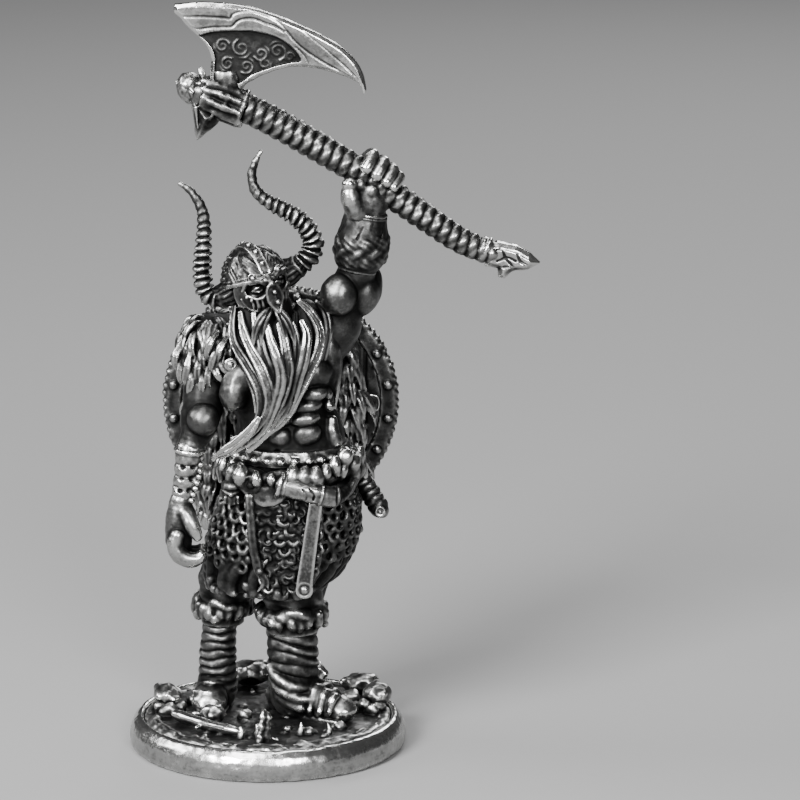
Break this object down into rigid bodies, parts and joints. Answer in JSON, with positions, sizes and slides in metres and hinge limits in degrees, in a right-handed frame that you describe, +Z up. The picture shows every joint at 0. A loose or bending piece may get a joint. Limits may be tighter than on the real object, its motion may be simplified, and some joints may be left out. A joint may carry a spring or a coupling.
{
  "type": "tabletop miniature figure",
  "caption": "Antiqued cast-metal tabletop miniature of a horned, bearded axeman who raises a long axe, with a round shield on the back, on a round scenic base.",
  "frame": {"origin": "centre of the base's flat underside", "axes": "+Z up through the figure, -Y the way that the figure faces, +X towards the figure's raised left arm"},
  "size_m": [0.0291, 0.0198, 0.0538],
  "materials": {
    "rubbed_metal": "bright rubbed silver-grey metal with dark wash left in the recesses",
    "antiqued_metal": "satin silver-grey metal, blackened and then rubbed back on the high points",
    "dark_wash_metal": "silver-grey metal under a near-black wash, rubbed only on the highest points"
  },
  "bodies": {
    "root": {"axe_back_spike": "antiqued_metal", "axe_blade": "rubbed_metal", "axe_butt_spike": "rubbed_metal", "axe_haft": "antiqued_metal", "axe_socket": "antiqued_metal", "axe_top_knob": "rubbed_metal", "back_rubble": "antiqued_metal", "base_disc": "rubbed_metal", "beard": "antiqued_metal", "belt": "antiqued_metal", "belt_buckle": "rubbed_metal", "belt_pouch": "antiqued_metal", "broken_stake": "rubbed_metal", "crest_band": "rubbed_metal", "drinking_horn": "rubbed_metal", "face_guard": "rubbed_metal", "fallen_branch": "antiqued_metal", "fur_cloak": "dark_wash_metal", "ground_insert": "dark_wash_metal", "head": "antiqued_metal", "helmet": "antiqued_metal", "horn_mouth_rim": "rubbed_metal", "knife_grip": "antiqued_metal", "knife_sheath": "dark_wash_metal", "left_boot": "antiqued_metal", "left_boot_cuff": "antiqued_metal", "left_boulder": "antiqued_metal", "left_bracer": "antiqued_metal", "left_foot_pin": "antiqued_metal", "left_hand": "rubbed_metal", "left_horn": "dark_wash_metal", "left_leg": "dark_wash_metal", "left_shoulder_pin": "antiqued_metal", "left_upper_arm": "antiqued_metal", "loin_panel": "dark_wash_metal", "mail_skirt": "dark_wash_metal", "moustache": "antiqued_metal", "neck_pin": "antiqued_metal", "rear_rubble": "antiqued_metal", "right_boot": "antiqued_metal", "right_boot_cuff": "antiqued_metal", "right_boulder": "antiqued_metal", "right_bracer": "antiqued_metal", "right_foot_pin": "antiqued_metal", "right_hand": "rubbed_metal", "right_horn": "dark_wash_metal", "right_leg": "dark_wash_metal", "right_rubble": "antiqued_metal", "right_upper_arm": "antiqued_metal", "shield_board": "dark_wash_metal", "shield_boss": "rubbed_metal", "shield_grip_bar": "antiqued_metal", "shield_pin": "antiqued_metal", "shield_rim": "antiqued_metal", "shoulder_pelt": "dark_wash_metal", "side_thong": "antiqued_metal", "strap_end": "rubbed_metal", "studded_band": "antiqued_metal", "toe_stone": "antiqued_metal", "torso": "antiqued_metal"}
  },
  "joints": []
}
